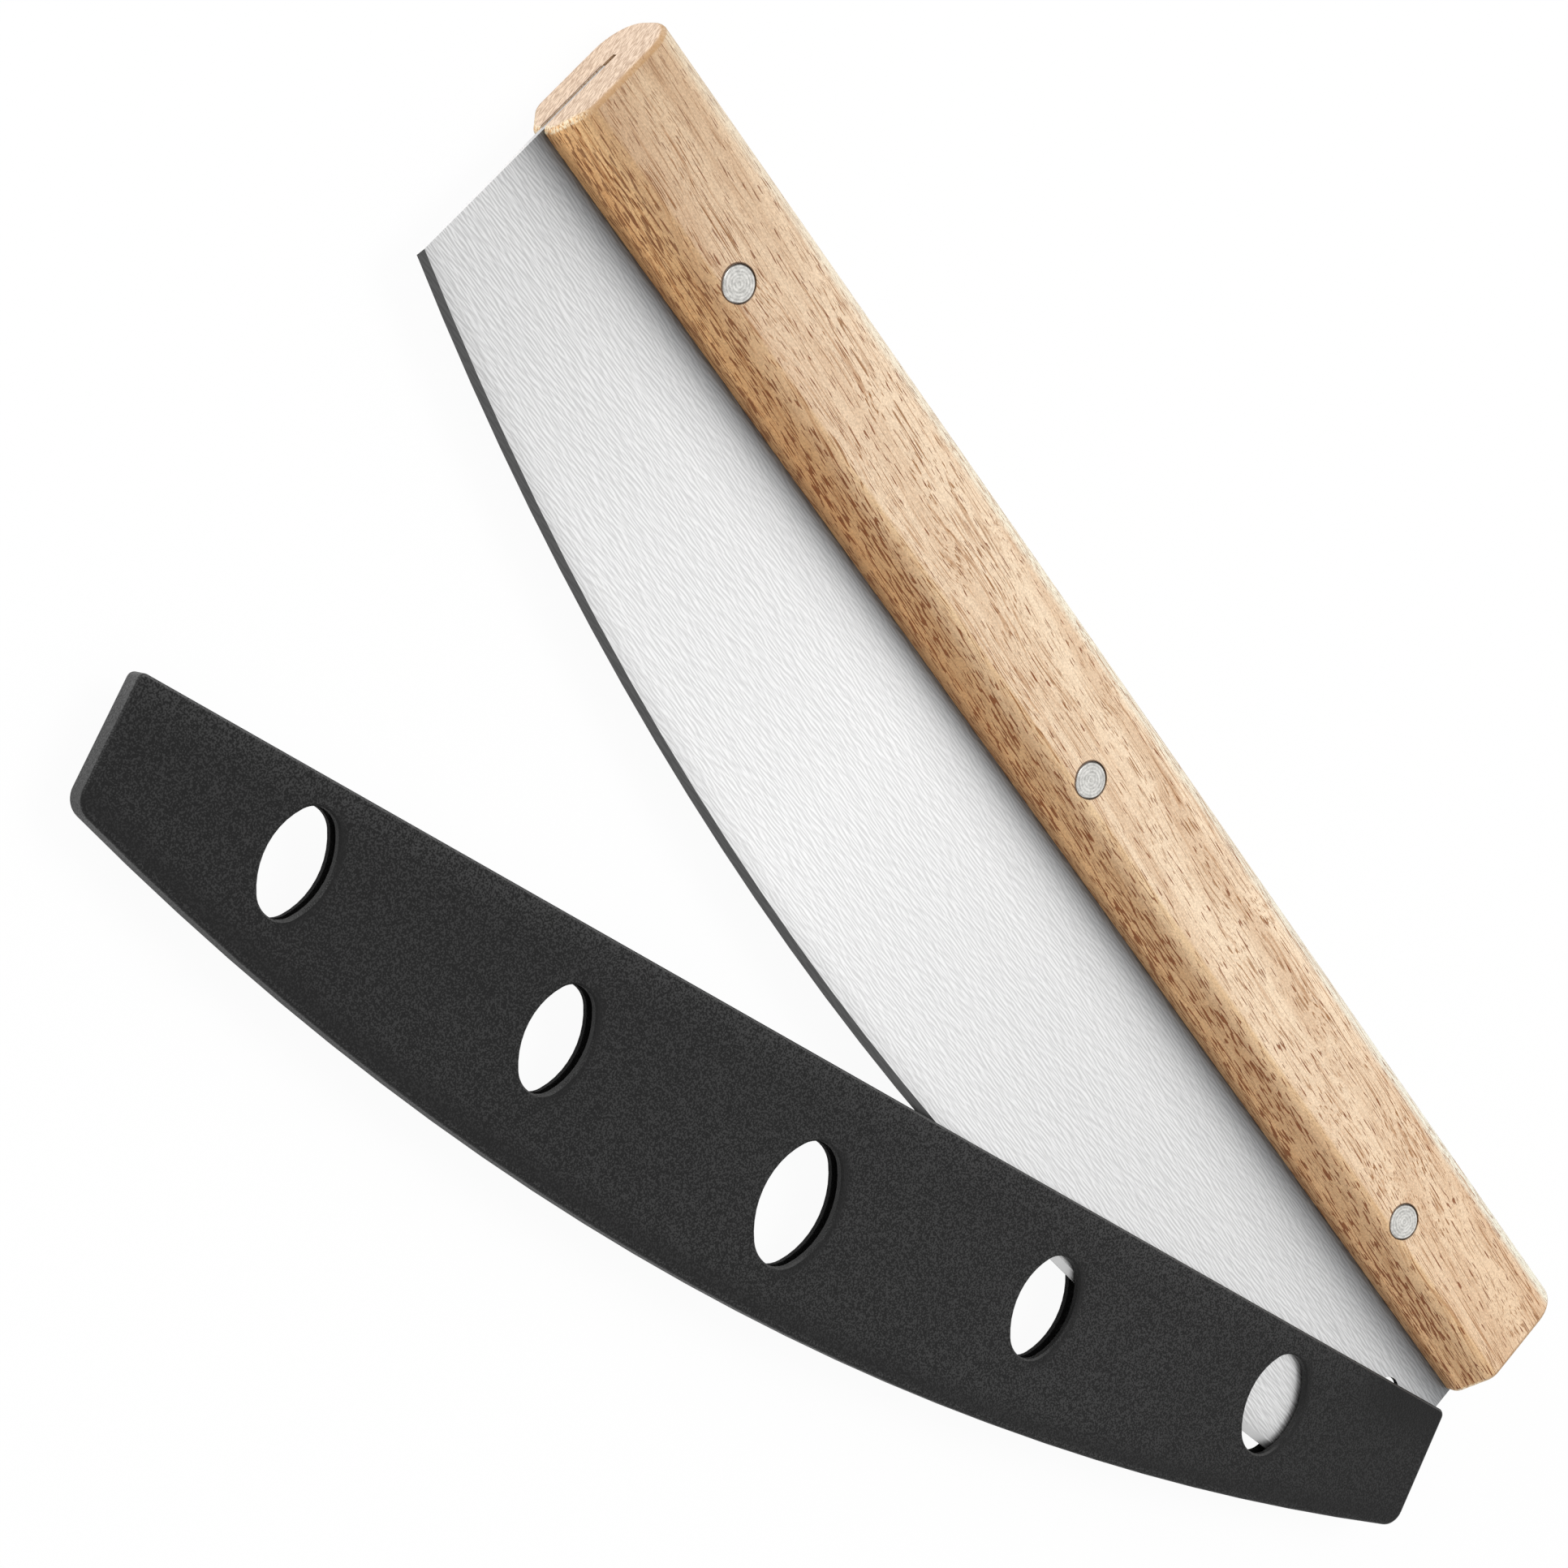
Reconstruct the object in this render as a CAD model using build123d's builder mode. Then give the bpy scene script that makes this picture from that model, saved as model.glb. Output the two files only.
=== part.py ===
from build123d import *
import math
import os

# A long rocking knife with a wooden handle along its back and a loose moulded sheath.
# It lies on the flat side of its handle: X along the knife, Y from the cutting edge
# to the handle's spine, Z up. The origin is the middle of the handle's flat underside.
# All sizes are in millimetres.

# Blade: a flat sheet whose cutting edge is an arc
blade_length = 356.0
blade_thickness = 1.2
blade_end_depth = 34.9
blade_middle_depth = 59.6
tang_depth = 18.5
bevel_width = 1.6
cutting_edge_land = 0.16
hanging_hole_radius = 3.0
hanging_hole_from_end = 13.2
hanging_hole_from_handle = 11.7

# Handle: one block of wood, sawn open along its narrow side to take the tang
handle_overhang = 0.2
handle_height = 31.6
handle_thickness = 20.4
underside_flat_width = 7.0
shoulder_rise = 6.1
lower_corner_radius = 3.0
shoulder_radius = 4.0
spine_radius = 8.5
handle_end_radius = 1.4
rest_line_from_bottom = 15.4
kerf_depth = 21.5
kerf_side_gap = 0.05

# Pins: three round rods, flush in the wood, through both cheeks and the tang
pin_names = ("pin_left", "pin_middle", "pin_right")
pin_radius = 3.8
pin_hole_gap = 0.1
outer_pin_from_end = 46.2
pin_from_bottom = 10.2
pin_recess = 0.05
pin_end_chamfer = 0.3

# Sheath: a narrow trough, closed at both ends and along its curved side
sheath_wall = 1.6
sheath_side_gap = 0.4
sheath_floor = 1.5
sheath_end_wall = 1.2
sheath_end_gap = 1.2
bare_strip = 10.0
middle_edge_gap = 0.5
end_edge_gap = 0.7
sheath_low_corner_radius = 4.5
sheath_top_corner_radius = 1.5
sheath_rim_radius = 0.8
slot_corner_radius = 1.0

# The five oval windows of the sheath, evenly spaced, the middle one larger. Their
# centres drop from the mouth by shares of the depth there.
outer_window_from_end = 45.8
window_length = 14.7
window_depth = 22.5
middle_window_length = 18.1
middle_window_depth = 26.6
window_rim_chamfer = 0.4
window_lean = 2.9
window_drop_shares = (0.437, 0.458, 0.537, 0.458, 0.437)
oval_end_radius_share = 0.74

# The sheath as it lies: fanned out, with only the blade's right corner inside it
sheath_angle = 19.8
mouth_gap = 0.3
corner_gap = 0.4

# How far a cutting shape runs past what it cuts
overrun = 2.0

# Places that follow from the sizes
handle_length = blade_length + 2 * handle_overhang
middle_z = handle_thickness / 2
bottom_y = -rest_line_from_bottom
top_y = bottom_y + handle_height
shoulder_y = bottom_y + shoulder_rise
outer_pin_x = blade_length / 2 - outer_pin_from_end
pin_places = [(x, bottom_y + pin_from_bottom) for x in (-outer_pin_x, 0, outer_pin_x)]
pin_hole_radius = pin_radius + pin_hole_gap
blade_plane = Plane.XY.offset(middle_z)

slot_width = blade_thickness + 2 * sheath_side_gap
sheath_thickness = slot_width + 2 * sheath_wall
sheath_length = blade_length + 2 * (sheath_end_gap + sheath_end_wall)
sheath_middle_depth = blade_middle_depth - bare_strip + middle_edge_gap + sheath_floor
sheath_end_depth = blade_end_depth - bare_strip + end_edge_gap + sheath_floor
windows = len(window_drop_shares)
window_spacing = (sheath_length - 2 * outer_window_from_end) / (windows - 1)


def arc_radius(chord, rise):
    """Radius of the arc that rises by rise over a chord."""
    return (chord * chord / 4 + rise * rise) / (2 * rise)


# The sheath's own frame has its origin at the right end of its mouth, with the
# sheath towards -X and -Y. Its floor and its outside are arcs about one centre.
sheath_radius = arc_radius(sheath_length, sheath_middle_depth - sheath_end_depth)
arc_centre = Vector(-sheath_length / 2, sheath_radius - sheath_middle_depth)


def depth_at(x, radius):
    """Depth below the mouth, at x in the sheath's frame, of an arc about its centre."""
    return math.sqrt(radius**2 - (x - arc_centre.X) ** 2) - arc_centre.Y


def blade_corner_in_sheath():
    """Where the blade's right corner stands, in the sheath's frame.

    The blade's end passes the end wall at the mouth with mouth_gap to spare, and
    runs down to corner_gap above the floor.
    """
    turn = math.radians(sheath_angle)
    at_mouth = Vector(-sheath_end_wall - mouth_gap, 0)
    down = Vector(-math.sin(turn), -math.cos(turn))
    reach_radius = sheath_radius - sheath_floor - corner_gap
    away = at_mouth - arc_centre
    along = away.dot(down)
    reach = math.sqrt(along**2 - away.length**2 + reach_radius**2) - along
    return at_mouth + down * reach


def oval_join(half_length, half_depth):
    """Where an oval's end arc runs into its side arc, from the oval's centre."""
    end_radius = oval_end_radius_share * half_length
    end_centre = Vector(0, half_depth - end_radius)
    side_radius = (half_length**2 + end_centre.Y**2 - end_radius**2) / (2 * (half_length - end_radius))
    side_centre = Vector(half_length - side_radius, 0)
    return side_centre + (end_centre - side_centre).normalized() * side_radius


blade_corner = Vector(blade_length / 2, bottom_y - blade_end_depth, middle_z)
sheath_corner = blade_corner - blade_corner_in_sheath().rotate(Axis.Z, sheath_angle)
sheath_direction = Vector(1, 0, 0).rotate(Axis.Z, sheath_angle)
sheath_plane = Plane(origin=sheath_corner, x_dir=sheath_direction, z_dir=(0, 0, 1))

os.makedirs("parts", exist_ok=True)


# Blade with its tang, hidden in the handle
with BuildPart() as blade:
    left, right = -blade_length / 2, blade_length / 2
    end_y = bottom_y - blade_end_depth
    with BuildSketch(blade_plane):
        with BuildLine():
            Polyline((left, end_y), (left, bottom_y + tang_depth), (right, bottom_y + tang_depth), (right, end_y))
            ThreePointArc((right, end_y), (0, bottom_y - blade_middle_depth), (left, end_y))
        make_face()
    extrude(amount=blade_thickness / 2, both=True)

    # The cutting edge is ground from both sides and keeps a thin land
    edge_face = blade.faces().filter_by(GeomType.CYLINDER)[0]
    long_edges = edge_face.edges().filter_by(GeomType.CIRCLE)
    grind = (blade_thickness - cutting_edge_land) / 2
    chamfer(long_edges, length=grind, length2=bevel_width, reference=edge_face)

    with Locations(*[(x, y, middle_z) for x, y in pin_places]):
        Hole(radius=pin_hole_radius)
    hanging_hole = (right - hanging_hole_from_end, bottom_y - hanging_hole_from_handle, middle_z)
    with Locations(hanging_hole):
        Hole(radius=hanging_hole_radius)
blade.part.label = "blade"
export_step(blade.part, "parts/blade.step")


# Handle: rounded spine, slanted shoulders down to a narrow underside, rounded ends
with BuildPart() as handle:
    half_flat = underside_flat_width / 2
    with BuildSketch(Plane.YZ) as section:
        with BuildLine():
            Polyline(
                (bottom_y, middle_z - half_flat),
                (shoulder_y, 0),
                (top_y, 0),
                (top_y, handle_thickness),
                (shoulder_y, handle_thickness),
                (bottom_y, middle_z + half_flat),
                close=True,
            )
        make_face()
        fillet(section.vertices().group_by(Axis.X)[-1], spine_radius)
        fillet(section.vertices().group_by(Axis.X)[1], shoulder_radius)
        fillet(section.vertices().group_by(Axis.X)[0], lower_corner_radius)
    extrude(amount=handle_length / 2, both=True)
    fillet(handle.faces().filter_by(Axis.X).edges(), handle_end_radius)

    # The saw kerf, open along the underside and at both ends
    kerf_width = blade_thickness + 2 * kerf_side_gap
    with BuildSketch(Plane.YZ):
        with Locations((bottom_y + (kerf_depth - overrun) / 2, middle_z)):
            Rectangle(kerf_depth + overrun, kerf_width)
    extrude(amount=handle_length / 2 + overrun, both=True, mode=Mode.SUBTRACT)

    with Locations(*[(x, y, middle_z) for x, y in pin_places]):
        Hole(radius=pin_hole_radius)
handle.part.label = "handle"
export_step(handle.part, "parts/handle.step")


# Pins, each with a small chamfer at both ends
for pin_name, (pin_x, pin_y) in zip(pin_names, pin_places):
    with BuildPart() as pin:
        with BuildSketch(Plane.XY.offset(pin_recess)):
            with Locations((pin_x, pin_y)):
                Circle(pin_radius)
        extrude(amount=handle_thickness - 2 * pin_recess)
        chamfer(pin.edges().filter_by(GeomType.CIRCLE), pin_end_chamfer)
    pin.part.label = pin_name
    export_step(pin.part, f"parts/{pin_name}.step")


# Sheath outline, in the sheath's own frame: straight mouth, curved bottom
with BuildSketch() as outline:
    with BuildLine():
        Polyline((-sheath_length, -sheath_end_depth), (-sheath_length, 0), (0, 0), (0, -sheath_end_depth))
        lowest = (arc_centre.X, -sheath_middle_depth)
        ThreePointArc((0, -sheath_end_depth), lowest, (-sheath_length, -sheath_end_depth))
    make_face()
    fillet(outline.vertices().group_by(Axis.Y)[-1], sheath_top_corner_radius)
    fillet(outline.vertices().group_by(Axis.Y)[0], sheath_low_corner_radius)

# The room for the blade, open past the mouth
with BuildSketch() as slot:
    slot_left = -sheath_length + sheath_end_wall
    slot_right = -sheath_end_wall
    slot_end_y = -depth_at(slot_right, sheath_radius - sheath_floor)
    with BuildLine():
        Polyline((slot_left, slot_end_y), (slot_left, overrun), (slot_right, overrun), (slot_right, slot_end_y))
        slot_lowest = (arc_centre.X, -sheath_middle_depth + sheath_floor)
        ThreePointArc((slot_right, slot_end_y), slot_lowest, (slot_left, slot_end_y))
    make_face()
    fillet(slot.vertices().group_by(Axis.Y)[0], slot_corner_radius)

# The windows, each an oval of four arcs
with BuildSketch() as window_row:
    for i, drop_share in enumerate(window_drop_shares):
        x = -sheath_length + outer_window_from_end + i * window_spacing
        drop = drop_share * depth_at(x, sheath_radius)
        is_middle = i == windows // 2
        half_length = (middle_window_length if is_middle else window_length) / 2
        half_depth = (middle_window_depth if is_middle else window_depth) / 2
        join = oval_join(half_length, half_depth)
        joins = [(join.X, -join.Y), (join.X, join.Y), (-join.X, join.Y), (-join.X, -join.Y)]
        bulges = [(half_length, 0), (0, half_depth), (-half_length, 0), (0, -half_depth)]
        with BuildSketch(mode=Mode.PRIVATE) as oval:
            with BuildLine():
                for k, bulge in enumerate(bulges):
                    ThreePointArc(joins[k], bulge, joins[(k + 1) % len(joins)])
            make_face()
        with Locations(Location((x, -drop, 0), (0, 0, -window_lean))):
            add(oval.sketch)


# Sheath walls: two pierced plates, rounded at their outer rims, eased at the windows
for wall_name, wall_low, outer in (
    ("sheath_front", slot_width / 2, -1),
    ("sheath_back", -sheath_thickness / 2, 0),
):
    with BuildPart() as wall:
        with BuildSketch(sheath_plane.offset(wall_low)):
            add(outline.sketch)
            add(window_row.sketch, mode=Mode.SUBTRACT)
        extrude(amount=sheath_wall)
        rim = wall.faces().filter_by(Axis.Z).sort_by(Axis.Z)[outer].outer_wire()
        fillet(rim.edges(), sheath_rim_radius)
        window_rims = wall.faces().filter_by(Axis.Z).sort_by(Axis.Z)[outer].inner_wires()
        chamfer(window_rims.edges(), window_rim_chamfer)
    wall.part.label = wall_name
    export_step(wall.part, f"parts/{wall_name}.step")


# Sheath rim: the curved floor and both ends, between the walls
with BuildPart() as sheath_rim:
    with BuildSketch(sheath_plane.offset(-slot_width / 2)):
        add(outline.sketch)
        add(slot.sketch, mode=Mode.SUBTRACT)
    extrude(amount=slot_width)
sheath_rim.part.label = "sheath_rim"
export_step(sheath_rim.part, "parts/sheath_rim.step")
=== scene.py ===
import math

import bpy
from mathutils import Matrix, Vector

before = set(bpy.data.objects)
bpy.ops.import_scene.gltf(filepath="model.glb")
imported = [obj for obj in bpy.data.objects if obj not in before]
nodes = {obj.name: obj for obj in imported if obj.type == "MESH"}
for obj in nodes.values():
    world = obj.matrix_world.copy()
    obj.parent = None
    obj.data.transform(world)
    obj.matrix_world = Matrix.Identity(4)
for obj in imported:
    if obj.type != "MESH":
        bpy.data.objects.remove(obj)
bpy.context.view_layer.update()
scene = bpy.context.scene

# The materials work in the CAD's frame, in millimetres, and their colours are linear.
# A pair of values is where a change of tone starts and where it ends, as a place or as one
# axis of the surface's normal. Two pairs are the rise and the fall of a band.

# Tone trends run over this length each side of the knife's middle
TREND_HALF_LENGTH = 180.0

# Handle: its grain, its kinds of face, and the painted shadow beside the tang
GRAIN_LEAN = 0.06
GRAIN_WANDER = 14.0
FACET_NORMAL_Y = (-0.08, -0.36)
FACET_TOP_Y = (-8.0, -12.4)
LOW_STRIP_Y = (-13.0, -14.6)
SHOULDER_NORMAL_Y = (-0.04, -0.30)
CORNER_NORMAL_Y = (-0.80, -0.95)
SPINE_NORMAL_Y = (0.34, 0.66)
END_NORMAL_X = (0.72, 0.98)
END_ROUNDING_NORMAL_X = (0.04, 0.30)
SOFT_PORES_X = (-175, -100)
KERF_SHADOW_Z = (9.0, 9.2), (9.55, 9.65)
KERF_SHADOW_TOP_Y = (2.4, 3.4)

# Pins: their places, the dark ring in the wood, and the marks on the metal
PIN_HALF_SPACING = 65.9
PIN_Y = -5.2
RING_SHIFT = (-0.17, -0.04)
RING_EDGE = (3.98, 4.14)
PIN_LEVEL = 0.62
TURNING_RADIANS_PER_MM = 9.2
PIN_RIM_LINE = (3.25, 3.5), (3.5, 3.75)

# Blade: where it leaves the handle, its edge's arc, and how far the handle's shade reaches
JUNCTION_Y = -15.4
EDGE_RADIUS = 653.75
EDGE_CENTRE_Y = 578.75
SHADE_REACH = 16.0
ABOVE_BEVEL = (1.4, 6.0)
BEVEL_NORMAL_Y = (-0.12, -0.22)
PALE_BEVEL_X = (45, 75)
SHEARED_NORMAL_X = (0.8, 0.95)

# Sheath: its own frame starts at the right end of its mouth
SHEATH_TURN = math.radians(19.8)
SHEATH_CORNER = (179.411, -19.7605)
SHEATH_HALF_LENGTH = 180.4
SHEATH_DEPTH = 51.6
SHEATH_RADIUS = 676.4
SHEATH_CENTRE = (-201.97, 506.99)
MOUTH_HIGHLIGHT_STRIP = (-9, 0)
CORNER_SHADE_ACROSS, CORNER_SHADE_ALONG = (-13, -3), (-34, -14)
RIM_SHADE_BAND = (0.8, 1.6), (2.0, 7.0)
EASED_NORMAL_Z = (0.985, 0.90), (0.75, 0.60)
LIT_NORMAL_Y = (0.05, 0.25)
UPRIGHT_NORMAL_Z = (0.55, 0.10)
# Upright faces this near to the outline are outside ones
OUTLINE_FAR, OUTLINE_NEAR = 3.5, 2.5
# Upright faces in the windows
DIM_WINDOWS_X = (15, 65)
BELOW_SLOT_Z = (9.6, 9.2)
WINDOW_SPACING = 67.3
WINDOW_DROPS = (0.437, 0.458, 0.537, 0.458, 0.437)
WINDOW_LEAN = math.radians(2.9)
WINDOW_HALF_SIZE = (7.35, 11.25)
MIDDLE_WINDOW_HALF_SIZE = (9.05, 13.3)
MIDDLE_WINDOW = 2
# In half axes of the window, from its middle
SHADE_CRESCENT = (1.06, 1.26)

# Colours of the wood
BAND_DARK = (0.725, 0.525, 0.350, 1)
BAND_PALE = (0.865, 0.680, 0.485, 1)
LINE_BROWN = (0.48, 0.27, 0.14, 1)
HAIR_BROWN = (0.335, 0.165, 0.07, 1)
PORE_BROWN = (0.20, 0.050, 0.006, 1)
CORNER_SHADING_TINT = (0.50, 0.26, 0.11, 1)
FIBRE_DARK = (0.465, 0.325, 0.225, 1)
FIBRE_PALE = (0.79, 0.62, 0.475, 1)
END_ROUNDING_SHADE = (0.41, 0.245, 0.118, 1)
END_EDGE_HIGHLIGHT = (0.93, 0.79, 0.56, 1)
KERF_SHADOW = (0.09, 0.05, 0.03, 1)
PIN_RING = (0.07, 0.035, 0.02, 1)
SHOULDER_TINT = (0.96, 0.89, 0.75, 1)

# Trends along the handle and the blade, most of them painted light and shade: (x, level or colour)
SPINE_HIGHLIGHT_TREND = (
    (-180, (1.0, 0.91, 0.73)),
    (-60, (0.90, 0.85, 0.68)),
    (30, (0.81, 0.755, 0.605)),
    (180, (0.91, 0.98, 0.89)),
)
FACET_SHADE_TREND = (
    (-180, (1.5, 1.32, 1.0)),
    (-140, (1.0, 0.81, 0.56)),
    (-50, (0.70, 0.52, 0.34)),
    (180, (0.88, 0.77, 0.62)),
)
LOW_STRIP_LIGHT_TREND = ((90, (1.04, 1.0, 0.94)), (180, (1.19, 1.19, 1.20)))
HANDLE_LIGHT_FALLOFF = (
    (-180, (0.67, 0.61, 0.55)),
    (-110, (0.86, 0.84, 0.835)),
    (-30, (0.96, 0.97, 0.985)),
    (90, (0.95, 0.94, 0.94)),
    (180, (0.90, 0.835, 0.775)),
)
BLADE_TREND = ((-180, 0.74), (-108, 0.90), (-36, 0.97), (43.2, 0.875), (180, 0.73))
SHADE_SPREAD_TREND = ((-180, 0.63), (-43.2, 0.78), (180, 0.54))
SHEATH_LIGHT_FALLOFF = ((-180, 1.02), (110, 1.08), (170, 0.58))

# The blade's shade below the handle: (distance, level)
SHADE_STOPS = ((0, 0.24), (2, 0.35), (6, 0.73), (9, 0.89), (SHADE_REACH, 1.0))

# In metres: the softening of the sheath's sharp edges, the floor and the lamps' target
BEVEL_WIDTH_M = 0.00022
FLOOR_HALF_SIZE_M = 6.0
FLOOR_DROP_M = 0.0005
LAMP_TARGET_M = (0, -0.05, 0)

# The light's plain level, and the floor's share of plain white for the camera
WORLD_LEVEL = 0.62
FLOOR_GLOW = 0.95


class Nodes:
    """Small helper to write node trees in few lines."""

    def __init__(self, tree):
        self.tree = tree
        tree.nodes.clear()

    def add(self, kind, inputs=None, **settings):
        node = self.tree.nodes.new(kind)
        for key, value in settings.items():
            setattr(node, key, value)
        for key, value in (inputs or {}).items():
            self.put(node.inputs[key], value)
        return node

    def put(self, socket, value):
        if isinstance(value, bpy.types.NodeSocket):
            self.tree.links.new(value, socket)
        else:
            socket.default_value = value

    def math(self, operation, a, b=0.0, c=0.0, clamp=False):
        node = self.add("ShaderNodeMath", operation=operation, use_clamp=clamp)
        for socket, value in zip(node.inputs, (a, b, c)):
            self.put(socket, value)
        return node.outputs[0]

    def plus(self, a, b, clamp=False):
        return self.math("ADD", a, b, clamp=clamp)

    def minus(self, a, b):
        return self.math("SUBTRACT", a, b)

    def times(self, a, b):
        return self.math("MULTIPLY", a, b)

    def absolute(self, value):
        return self.math("ABSOLUTE", value)

    def one_minus(self, value):
        return self.minus(1.0, value)

    def lowered(self, level, mask, amount):
        """The level, less that share of it where the mask is 1."""
        return self.times(level, self.one_minus(self.times(mask, amount)))

    def distance(self, x, y):
        return self.math("SQRT", self.plus(self.times(x, x), self.times(y, y)))

    def parts(self, vector):
        return tuple(self.add("ShaderNodeSeparateXYZ", {0: vector}).outputs)

    def turned(self, vector, angle, axis):
        inputs = {"Vector": vector, "Angle": angle}
        return self.add("ShaderNodeVectorRotate", inputs, rotation_type=axis).outputs[0]

    def scaled(self, vector, scale, location=(0, 0, 0)):
        inputs = {"Vector": vector, "Scale": scale, "Location": location}
        return self.add("ShaderNodeMapping", inputs).outputs[0]

    def noise(self, vector, scale=1.0, detail=2.0, roughness=0.5):
        inputs = {"Vector": vector, "Scale": scale, "Detail": detail, "Roughness": roughness}
        return self.add("ShaderNodeTexNoise", inputs).outputs["Fac"]

    def stretched(self, vector, scale, location=(0, 0, 0), **settings):
        """Noise with a scale of its own along each axis."""
        return self.noise(self.scaled(vector, scale, location), **settings)

    def fine_noise(self, vector, step, **settings):
        """Noise less the same noise a step aside, so that only its finest marks are left."""
        here = self.noise(vector, **settings)
        aside = self.stretched(vector, (1, 1, 1), step, **settings)
        return self.plus(self.minus(here, aside), 0.5)

    def span(self, value, low, high, to_low=0.0, to_high=1.0, smooth=True):
        """The value's place between low and high, as a value between to_low and to_high."""
        inputs = {
            "Value": value,
            "From Min": low,
            "From Max": high,
            "To Min": to_low,
            "To Max": to_high,
        }
        kind = "SMOOTHSTEP" if smooth else "LINEAR"
        return self.add("ShaderNodeMapRange", inputs, interpolation_type=kind).outputs[0]

    def hump(self, value, rise, fall):
        """1 between two slopes, each given as the values where it starts and ends."""
        return self.times(self.span(value, *rise), self.span(value, *fall, 1.0, 0.0))

    def mix(self, share, a, b, blend="MIX"):
        node = self.add("ShaderNodeMix", data_type="RGBA", blend_type=blend)
        self.put(node.inputs[0], share)
        self.put(node.inputs[6], a)
        self.put(node.inputs[7], b)
        return node.outputs[2]

    def tinted(self, colour, tint, share=1.0):
        return self.mix(share, colour, tint, "MULTIPLY")

    def ramp(self, value, stops):
        """Ramp: stops are (place, level) pairs, each level a grey or a colour."""
        node = self.add("ShaderNodeValToRGB", {"Fac": value})
        elements = node.color_ramp.elements
        while len(elements) < len(stops):
            elements.new(0.5)
        for element, (position, _) in zip(elements, stops):
            element.position = position
        for element, (_, level) in zip(elements, stops):
            element.color = (*level, 1) if isinstance(level, tuple) else (level, level, level, 1)
        return node.outputs[0]

    def along_x(self, x, stops):
        """Ramp along the knife: stops are (millimetres, level) pairs."""
        share = self.span(x, -TREND_HALF_LENGTH, TREND_HALF_LENGTH, smooth=False)
        length = 2 * TREND_HALF_LENGTH
        return self.ramp(share, [((at + TREND_HALF_LENGTH) / length, level) for at, level in stops])

    def rgb(self, red, green, blue):
        channels = {0: red, 1: green, 2: blue}
        return self.add("ShaderNodeCombineColor", channels).outputs[0]

    def bump(self, height, strength, distance):
        inputs = {"Height": height, "Strength": strength, "Distance": distance}
        return self.add("ShaderNodeBump", inputs).outputs[0]


def material(name):
    """A new material, its nodes, its shader, and object coordinates in mm and object normals."""
    made = bpy.data.materials.new(name)
    made.use_nodes = True
    t = Nodes(made.node_tree)
    out = t.add("ShaderNodeOutputMaterial")
    shader = t.add("ShaderNodeBsdfPrincipled")
    t.put(out.inputs[0], shader.outputs[0])
    coordinates = t.add("ShaderNodeTexCoord")
    mm = t.scaled(coordinates.outputs["Object"], (1000, 1000, 1000))
    return made, t, shader, mm, coordinates.outputs["Normal"]


def from_pin(t, x, y, shift=(0.0, 0.0)):
    """Place as seen from the nearest pin's centre, or from a point shifted off it."""
    pin_x = t.math("WRAP", x, PIN_HALF_SPACING, -PIN_HALF_SPACING)
    return t.minus(pin_x, shift[0]), t.minus(y, PIN_Y + shift[1])


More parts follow.
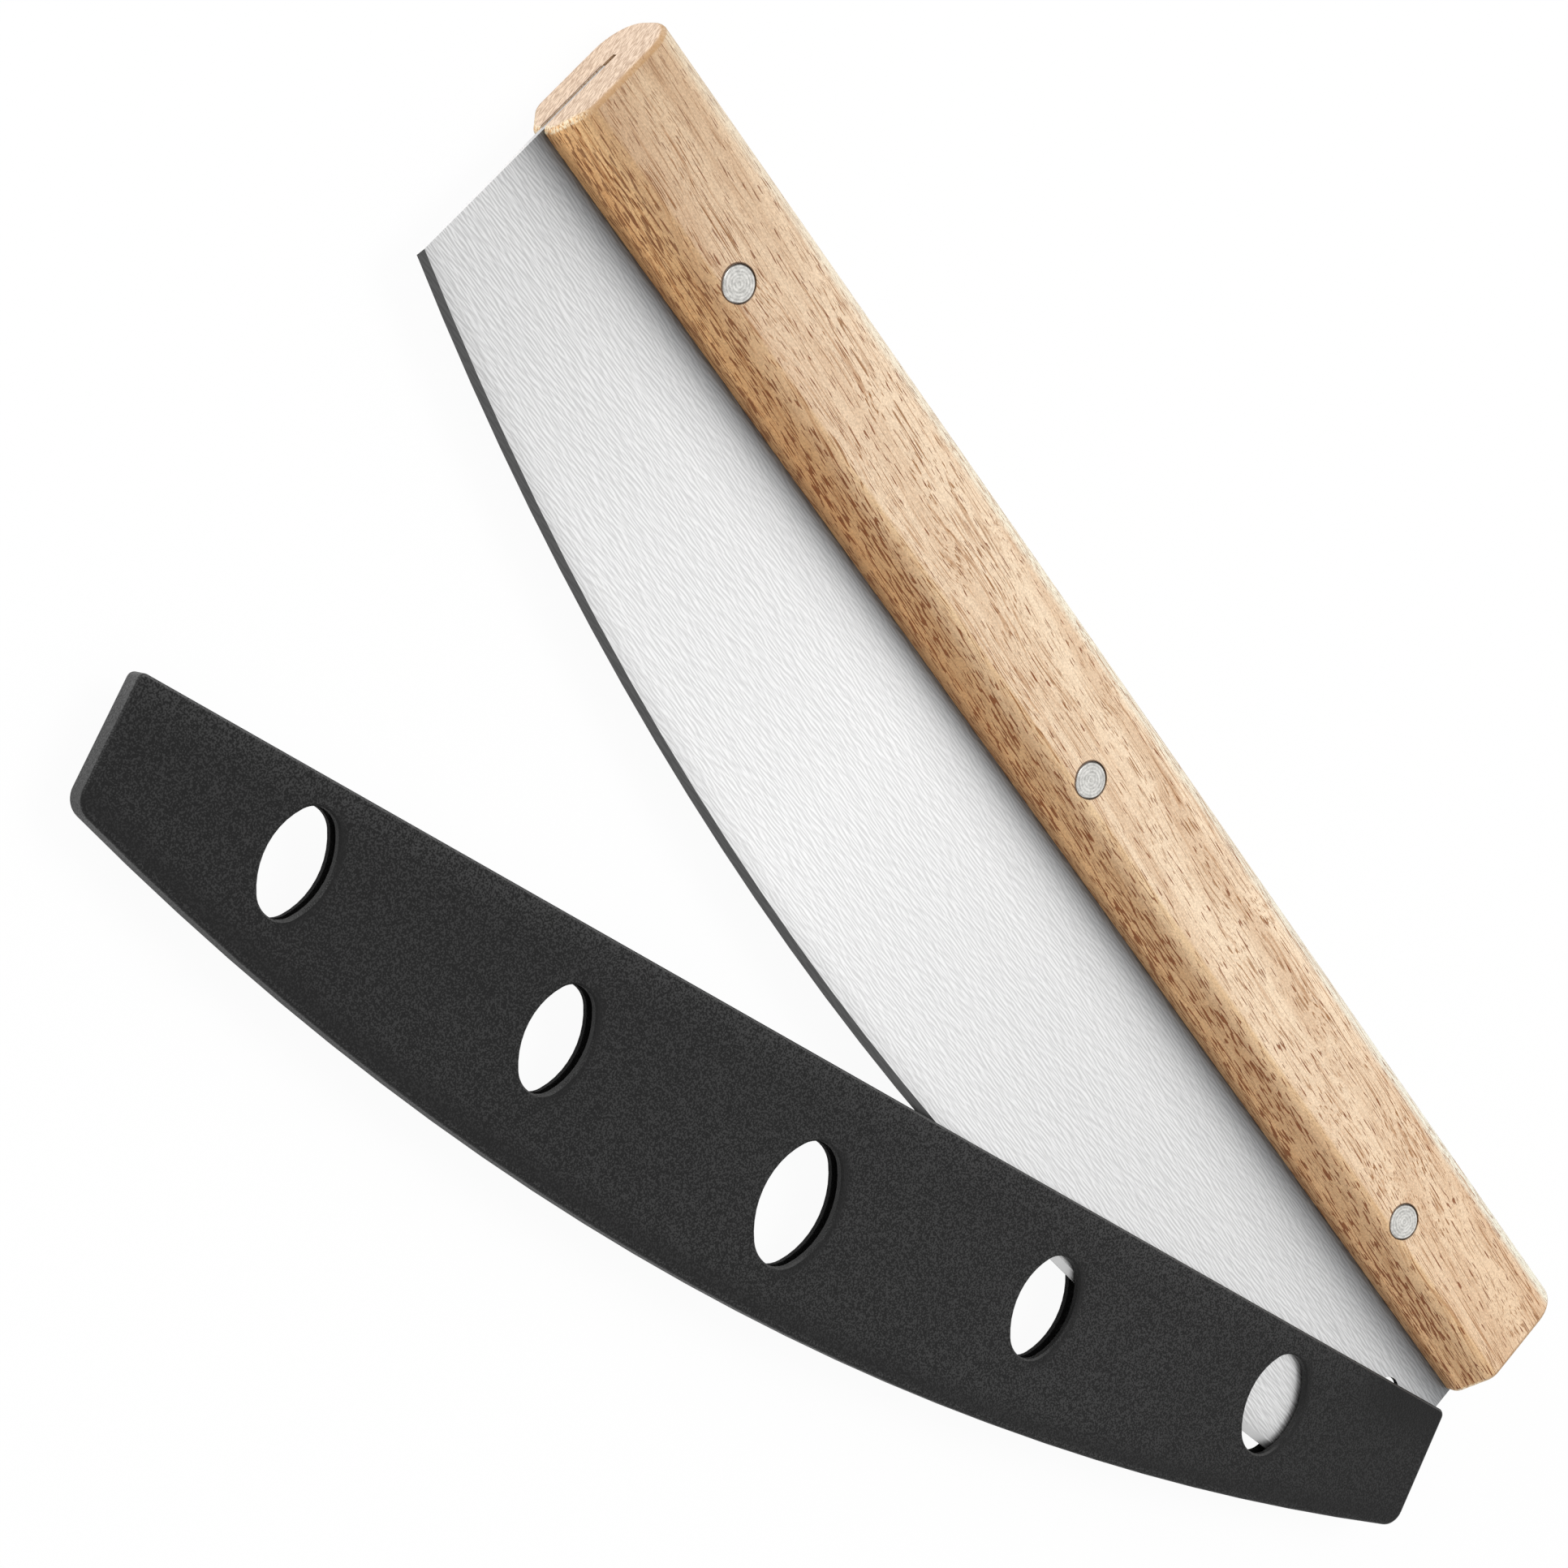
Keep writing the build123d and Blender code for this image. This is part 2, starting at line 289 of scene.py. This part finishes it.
def wood():
    made, t, shader, mm, normal = material("handle_wood")
    x, y, z = t.parts(mm)
    normal_x, normal_y, _ = t.parts(normal)
    # Grain runs along X, leans a little towards the blade and wanders
    lean = t.turned(mm, GRAIN_LEAN, "Z_AXIS")
    drift = t.times(t.stretched(lean, (0.012, 0.05, 0.05)), GRAIN_WANDER)
    shift = t.add("ShaderNodeCombineXYZ", {"Y": drift, "Z": drift}).outputs[0]
    grain = t.add("ShaderNodeVectorMath", {0: lean, 1: shift}, operation="ADD").outputs[0]

    # Masks for the slanted facets, the rounded spine and the sawn ends; the facets get painted
    # shade, the spine a painted highlight
    facet = t.times(t.span(normal_y, *FACET_NORMAL_Y), t.span(y, *FACET_TOP_Y))
    spine_highlight = t.span(normal_y, *SPINE_NORMAL_Y)
    end = t.span(t.absolute(normal_x), *END_NORMAL_X)
    towards_end = t.span(t.absolute(normal_x), *END_ROUNDING_NORMAL_X)
    end_edge = t.times(towards_end, t.one_minus(end))

    # Broad bands of tone, and a painted highlight that makes the spine pale
    bands = t.stretched(grain, (0.005, 0.16, 0.16), detail=4, roughness=0.6)
    colour = t.mix(t.span(bands, 0.36, 0.64), BAND_DARK, BAND_PALE)
    colour = t.mix(t.times(spine_highlight, 0.84), colour, t.along_x(x, SPINE_HIGHLIGHT_TREND))

    def strands(on_side, on_facet, **settings):
        """Long marks that follow the wandering grain, but run straight on the facets."""
        wandering = t.stretched(grain, *on_side, **settings)
        straight = t.stretched(lean, *on_facet, **settings)
        return t.span(facet, 0.0, 1.0, wandering, straight, smooth=False)

    # Thin long lines and hairs, in sheaves
    sheaves = t.stretched(grain, (0.010, 0.14, 0.14), (40, 9, 3))
    on_side, on_facet = ((0.028, 1.35, 1.35), (0, 0, 0)), ((0.022, 1.5, 1.5), (3, 7, 21))
    lines = strands(on_side, on_facet, roughness=0.6)
    line_mask = t.times(t.span(lines, 0.53, 0.66), t.span(sheaves, 0.38, 0.62, 0.22, 0.75))
    colour = t.mix(line_mask, colour, LINE_BROWN)
    on_side, on_facet = ((0.060, 3.9, 3.9), (2, 33, 8)), ((0.070, 4.0, 4.0), (9, 14, 2))
    hairs = strands(on_side, on_facet, detail=1, roughness=0.4)
    hair_mask = t.times(t.span(hairs, 0.59, 0.66), t.span(sheaves, 0.34, 0.60, 0.50, 1.0))
    colour = t.mix(hair_mask, colour, HAIR_BROWN)

    # Facets are painted darker as painted shade, and more golden, least so at the left end
    colour = t.tinted(colour, t.along_x(x, FACET_SHADE_TREND), facet)
    # Their lowest strip is a little more golden, and painted paler towards the right end as painted
    # light
    low = t.times(facet, t.span(y, *LOW_STRIP_Y))
    colour = t.tinted(colour, t.along_x(x, LOW_STRIP_LIGHT_TREND), low)
    # The soft line between side and facet is a little warmer
    shoulder = t.times(t.span(normal_y, *SHOULDER_NORMAL_Y), t.one_minus(facet))
    colour = t.tinted(colour, SHOULDER_TINT, shoulder)

    # Short open pores, straight and in clusters, most of them on the facets and softest at the
    # left end
    pores = t.stretched(lean, (0.25, 3.1, 3.1), (5, 11, 17), detail=0)
    clusters = t.stretched(lean, (0.035, 0.28, 0.28), (23, 5, 9))
    raised = t.times(facet, t.span(clusters, 0.40, 0.60, 0.085, 0.180))
    pore_mask = t.span(t.plus(pores, t.minus(raised, 0.040)), 0.675, 0.715)
    pore_share = t.times(pore_mask, t.span(x, *SOFT_PORES_X, 0.70, 0.88))
    colour = t.mix(pore_share, colour, PORE_BROWN)
    # Fine speckle of the sanded surface
    speckle = t.stretched(mm, (1.9, 3.0, 3.0), roughness=0.7)
    colour = t.tinted(colour, t.ramp(speckle, ((0.30, 0.79), (0.5, 0.99), (0.70, 1.20))))
    # Painted light falloff along the handle: browner and darker at both ends, palest in the middle
    colour = t.tinted(colour, t.along_x(x, HANDLE_LIGHT_FALLOFF))
    # The corner beside the blade is painted warmer, as painted shading there
    painted_corner_shading = t.span(normal_y, *CORNER_NORMAL_Y)
    colour = t.mix(t.times(painted_corner_shading, 0.22), colour, CORNER_SHADING_TINT)

    # End grain: short streaks
    streaks = t.stretched(t.turned(mm, 0.35, "X_AXIS"), (1.0, 0.50, 3.0), roughness=0.65)
    colour = t.mix(end, colour, t.mix(t.span(streaks, 0.36, 0.64), FIBRE_DARK, FIBRE_PALE))
    # The rounding between side and end gets a painted brown shade; at the facets a painted pale
    # highlight
    ragged = t.stretched(mm, (0.6, 2.4, 2.4))
    painted_end_shade = t.times(end_edge, t.one_minus(facet))
    colour = t.mix(t.times(painted_end_shade, t.span(ragged, 0.3, 0.7, 0.55, 0.95)), colour, END_ROUNDING_SHADE)
    painted_end_highlight = t.times(t.times(towards_end, facet), t.span(ragged, 0.42, 0.60, 0.1, 0.9))
    colour = t.mix(painted_end_highlight, colour, END_EDGE_HIGHLIGHT)

    # A painted shadow on the end face, as of the saw kerf standing a little open on one side of the
    # tang
    beside = t.hump(z, *KERF_SHADOW_Z)
    painted_kerf_shadow = t.times(t.times(beside, end), t.span(y, *KERF_SHADOW_TOP_Y, 1.0, 0.0))
    colour = t.mix(t.times(painted_kerf_shadow, 0.85), colour, KERF_SHADOW)
    # A dark ring where each pin meets the wood, wider on one side
    away = t.distance(*from_pin(t, x, y, RING_SHIFT))
    ring = t.span(away, *RING_EDGE, 1.0, 0.0)
    colour = t.mix(t.times(ring, 0.88), colour, PIN_RING)

    t.put(shader.inputs["Base Color"], colour)
    shader.inputs["Roughness"].default_value = 0.50
    shader.inputs["Specular IOR Level"].default_value = 0.30
    height = t.minus(t.times(speckle, 0.5), t.times(pore_mask, 0.8))
    t.put(shader.inputs["Normal"], t.bump(height, 0.45, 0.00015))
    return made


def steel():
    made, t, shader, mm, normal = material("blade_steel")
    x, y, _ = t.parts(mm)
    normal_x, normal_y, _ = t.parts(normal)
    # Fine brushing along the blade
    fine = t.fine_noise(t.scaled(mm, (0.36, 2.8, 2.8)), (0, 0.8, 0), detail=0)
    broad = t.stretched(mm, (0.03, 0.55, 0.55))
    tone = t.plus(
        t.span(fine, 0.30, 0.70, -0.115, 0.115, smooth=False),
        t.span(broad, 0.3, 0.7, -0.005, 0.005, smooth=False),
    )
    # Light falls off to both ends
    level = t.plus(t.times(t.along_x(x, BLADE_TREND), 0.90), tone)
    # Shade gathers where the blade runs into the handle, wider towards the ends
    spread = t.times(t.along_x(x, SHADE_SPREAD_TREND), 1.55)
    from_handle = t.times(t.minus(JUNCTION_Y, y), spread)
    reached = t.span(from_handle, 0.0, SHADE_REACH, smooth=False)
    shade = t.ramp(reached, [(distance / SHADE_REACH, value) for distance, value in SHADE_STOPS])
    level = t.times(level, shade)
    # The sheet turns a little darker just above the ground bevel
    from_edge = t.minus(EDGE_RADIUS, t.distance(x, t.minus(y, EDGE_CENTRE_Y)))
    level = t.times(level, t.span(from_edge, *ABOVE_BEVEL, 0.86, 1.0))
    # The ground bevel has a painted reflection: dark on the left, turning pale towards the right
    # end
    ground = t.span(normal_y, *BEVEL_NORMAL_Y)
    pale_bevel_reflection = t.times(t.span(x, *PALE_BEVEL_X), 0.48)
    bevel_reflection_tone = t.plus(t.span(fine, 0.3, 0.7, 0.085, 0.108, smooth=False), pale_bevel_reflection)
    level = t.plus(t.times(level, t.one_minus(ground)), t.times(ground, bevel_reflection_tone))
    # The sheared ends catch the light
    sheared = t.span(t.absolute(normal_x), *SHEARED_NORMAL_X)
    level = t.plus(level, t.times(sheared, 0.5), clamp=True)
    # A little bluer beside the handle, against the wood's warm reflection
    cool = t.times(t.one_minus(shade), 0.03)
    red, blue = t.times(level, t.one_minus(cool)), t.times(level, t.plus(1.0, cool))
    t.put(shader.inputs["Base Color"], t.rgb(red, level, blue))
    shader.inputs["Metallic"].default_value = 1.0
    t.put(shader.inputs["Roughness"], t.span(fine, 0.2, 0.8, 0.36, 0.46, smooth=False))
    t.put(shader.inputs["Normal"], t.bump(fine, 0.10, 0.00006))
    return made


def pin_metal():
    made, t, shader, mm, _ = material("pin_metal")
    x, y, _ = t.parts(mm)
    # Turning rings about each pin's own centre
    away = t.distance(*from_pin(t, x, y))
    uneven = t.noise(mm, scale=0.7)
    phase = t.times(t.plus(away, t.times(uneven, 0.35)), TURNING_RADIANS_PER_MM)
    rings = t.math("SINE", phase)
    mottled = t.noise(mm, scale=1.5, detail=3, roughness=0.65)
    tone = t.plus(t.times(rings, 0.085), t.span(mottled, 0.3, 0.7, -0.13, 0.13))
    level = t.plus(tone, PIN_LEVEL)
    # A soft dark line a little inside the rim
    rim = t.hump(away, *PIN_RIM_LINE)
    level = t.minus(level, t.times(rim, 0.05))
    t.put(shader.inputs["Base Color"], t.rgb(level, t.times(level, 0.985), t.times(level, 0.94)))
    shader.inputs["Metallic"].default_value = 0.85
    shader.inputs["Roughness"].default_value = 0.45
    t.put(shader.inputs["Normal"], t.bump(t.plus(rings, t.times(mottled, 2.0)), 0.30, 0.00003))
    return made


def window_shade_crescents(t, along, across):
    """Painted shade: 1 just beyond each window's right side, from places in the sheath's own frame.
    """
    lean_cos, lean_sin = math.cos(WINDOW_LEAN), math.sin(WINDOW_LEAN)
    window_shade = 0.0
    for i, drop in enumerate(WINDOW_DROPS):
        middle = (i - MIDDLE_WINDOW) * WINDOW_SPACING
        depth = math.sqrt(SHEATH_RADIUS**2 - middle**2) - SHEATH_RADIUS + SHEATH_DEPTH
        half_x, half_y = MIDDLE_WINDOW_HALF_SIZE if i == MIDDLE_WINDOW else WINDOW_HALF_SIZE
        from_x = t.plus(along, SHEATH_HALF_LENGTH - middle)
        from_y = t.plus(across, drop * depth)
        # u and v are 1 at the ends of the oval's half axes
        u = t.minus(t.times(from_x, lean_cos / half_x), t.times(from_y, lean_sin / half_x))
        v = t.plus(t.times(from_x, lean_sin / half_y), t.times(from_y, lean_cos / half_y))
        away = t.distance(u, v)
        right_side = t.span(t.math("DIVIDE", u, away), 0.0, 0.6)
        window_shade = t.plus(window_shade, t.times(t.span(away, *SHADE_CRESCENT, 1.0, 0.0), right_side))
    return window_shade


def plastic():
    made, t, shader, mm, normal = material("sheath_plastic")
    x, y, z = t.parts(mm)
    _, normal_y, normal_z = t.parts(normal)
    # Place in the sheath's own frame: origin at the right end of its mouth
    cos, sin = math.cos(SHEATH_TURN), math.sin(SHEATH_TURN)
    corner = Vector((*SHEATH_CORNER, 0))
    own_frame = []
    for direction in (Vector((cos, sin, 0)), Vector((-sin, cos, 0))):
        dot = t.add("ShaderNodeVectorMath", {0: mm, 1: direction}, operation="DOT_PRODUCT")
        own_frame.append(t.minus(dot.outputs["Value"], corner.dot(direction)))
    along, across = own_frame

    # Spark-eroded grain, fine and even
    grain = t.noise(mm, scale=3.0, detail=0)
    cloudy = t.noise(mm, scale=0.03)
    level = t.plus(
        t.span(grain, 0.30, 0.70, -0.0145, 0.0205),
        t.span(cloudy, 0.3, 0.7, 0.0005, 0.0025),
    )
    # Painted light: paler to the right, but darker again at that end, and a painted highlight along
    # the mouth
    level = t.plus(level, t.span(x, -150, 120, -0.0012, 0.004))
    level = t.times(level, t.along_x(x, SHEATH_LIGHT_FALLOFF))
    painted_mouth_highlight = t.times(t.span(across, *MOUTH_HIGHLIGHT_STRIP), t.span(x, -60, 120, 0.012, 0.007))
    level = t.plus(level, painted_mouth_highlight)
    # A soft shade lies over the corner where the knife sits
    beside_mouth = t.span(across, *CORNER_SHADE_ACROSS)
    corner_shade = t.times(beside_mouth, t.span(along, *CORNER_SHADE_ALONG))
    level = t.lowered(level, corner_shade, 0.9)
    # Painted shade: darker in a band along the curved rim
    from_centre = t.distance(t.minus(x, SHEATH_CENTRE[0]), t.minus(y, SHEATH_CENTRE[1]))
    inside = t.minus(SHEATH_RADIUS, from_centre)
    level = t.lowered(level, t.hump(inside, *RIM_SHADE_BAND), 0.55)
    # A soft painted shade lies as a dark crescent beside each window's right side
    level = t.lowered(level, window_shade_crescents(t, along, across), 0.85)

    # Eased rims: a painted highlight where they look up the sheath, painted shade elsewhere
    flat = t.absolute(normal_z)
    eased = t.hump(flat, *EASED_NORMAL_Z)
    lit = t.span(normal_y, *LIT_NORMAL_Y)
    level = t.lowered(level, t.times(eased, t.one_minus(lit)), 0.6)
    level = t.plus(level, t.times(t.times(eased, lit), 0.045))

    # Upright faces get painted light: pale around the outside, painted shade in the windows
    upright = t.span(flat, *UPRIGHT_NORMAL_Z)
    at_rim = t.span(inside, OUTLINE_FAR, OUTLINE_NEAR)
    at_mouth = t.span(across, -OUTLINE_FAR, -OUTLINE_NEAR)
    from_middle = t.absolute(t.plus(along, SHEATH_HALF_LENGTH))
    far, near = SHEATH_HALF_LENGTH - OUTLINE_FAR, SHEATH_HALF_LENGTH - OUTLINE_NEAR
    at_ends = t.span(from_middle, far, near)
    outside = t.math("MAXIMUM", t.math("MAXIMUM", at_rim, at_mouth), at_ends)
    in_windows = t.one_minus(outside)
    painted_window_light = t.span(x, *DIM_WINDOWS_X, 0.035, 0.004)
    painted_upright_light = t.plus(t.times(outside, 0.047), t.times(in_windows, painted_window_light))
    level = t.plus(level, t.times(upright, painted_upright_light))
    # The windows' faces get painted shade, darkest below the slot
    painted_slot_shade = t.times(t.times(t.span(z, *BELOW_SLOT_Z), in_windows), upright)
    level = t.lowered(level, painted_slot_shade, 0.95)

    level = t.math("MAXIMUM", level, 0.0005)
    t.put(shader.inputs["Base Color"], t.rgb(level, level, level))
    t.put(shader.inputs["Roughness"], t.span(grain, 0.3, 0.7, 0.52, 0.42))
    shader.inputs["Specular IOR Level"].default_value = 0.27
    t.put(shader.inputs["Normal"], t.bump(grain, 0.6, 0.00016))
    return made


def background():
    """White for the camera and for reflections, a plain level of light for the rest."""
    world = bpy.data.worlds.new("studio")
    world.use_nodes = True
    scene.world = world
    t = Nodes(world.node_tree)
    out = t.add("ShaderNodeOutputWorld")
    rays = t.add("ShaderNodeLightPath").outputs
    reflected = t.plus(rays["Is Glossy Ray"], rays["Is Transmission Ray"])
    seen = t.plus(rays["Is Camera Ray"], reflected, clamp=True)
    strength = t.plus(t.times(seen, 1.0 - WORLD_LEVEL), WORLD_LEVEL)
    shown = t.add("ShaderNodeBackground", {"Color": (1, 1, 1, 1), "Strength": strength})
    t.put(out.inputs[0], shown.outputs[0])


def floor():
    """A plain pale sheet that keeps the object's shadow and is otherwise white."""
    mesh = bpy.data.meshes.new("floor")
    size = FLOOR_HALF_SIZE_M
    corners = [(-size, -size, 0), (size, -size, 0), (size, size, 0), (-size, size, 0)]
    mesh.from_pydata(corners, [], [(0, 1, 2, 3)])
    made = bpy.data.objects.new("floor", mesh)
    made.location.z = -FLOOR_DROP_M
    scene.collection.objects.link(made)
    paper = bpy.data.materials.new("paper")
    paper.use_nodes = True
    t = Nodes(paper.node_tree)
    out = t.add("ShaderNodeOutputMaterial")
    rays = t.add("ShaderNodeLightPath").outputs
    matt = t.add("ShaderNodeBsdfDiffuse", {"Color": (0.86, 0.86, 0.86, 1)})
    glow = t.add("ShaderNodeEmission", {"Color": (1, 1, 1, 1), "Strength": 1.0})
    seen = t.plus(rays["Is Camera Ray"], rays["Is Transmission Ray"], clamp=True)
    layers = {0: t.times(seen, FLOOR_GLOW), 1: matt.outputs[0], 2: glow.outputs[0]}
    t.put(out.inputs[0], t.add("ShaderNodeMixShader", layers).outputs[0])
    mesh.materials.append(paper)


def lamp(name, place, size, power):
    data = bpy.data.lights.new(name, "AREA")
    data.shape = "DISK"
    data.size = size
    data.energy = power
    made = bpy.data.objects.new(name, data)
    made.location = place
    made.rotation_mode = "QUATERNION"
    made.rotation_quaternion = (Vector(place) - Vector(LAMP_TARGET_M)).to_track_quat("Z", "Y")
    scene.collection.objects.link(made)
    return made


materials = {"handle": wood(), "blade": steel(), "pin": pin_metal(), "sheath": plastic()}
for name, node in nodes.items():
    node.data.materials.clear()
    node.data.materials.append(materials[name.split("_")[0]])
    if name in ("sheath_front", "sheath_back"):
        softened = node.modifiers.new("softened", "BEVEL")
        softened.width = BEVEL_WIDTH_M
        softened.segments = 2
        softened.limit_method = "ANGLE"
        softened.angle_limit = math.radians(32)

background()
floor()
lamp("top", (0.0, 0.8, 1.9), size=1.2, power=19).visible_glossy = False
lamp("side", (-1.7, 0.15, 0.62), size=0.8, power=14)

# Camera, as fitted to the photograph
camera_data = bpy.data.cameras.new("camera")
camera_data.sensor_width = 36
camera_data.sensor_fit = "HORIZONTAL"
camera_data.lens = 119.3423
camera_data.clip_start = 0.05
camera_data.clip_end = 30
camera = bpy.data.objects.new("camera", camera_data)
scene.collection.objects.link(camera)
camera.matrix_world = Matrix(
    (
        (0.5309179, -0.7100936, -0.4624859, -0.5137202),
        (0.6341765, 0.6949261, -0.3389660, -0.3976874),
        (0.5620911, -0.1133346, 0.8192734, 0.8388732),
        (0, 0, 0, 1),
    )
)
scene.camera = camera
scene.view_settings.view_transform = "Standard"
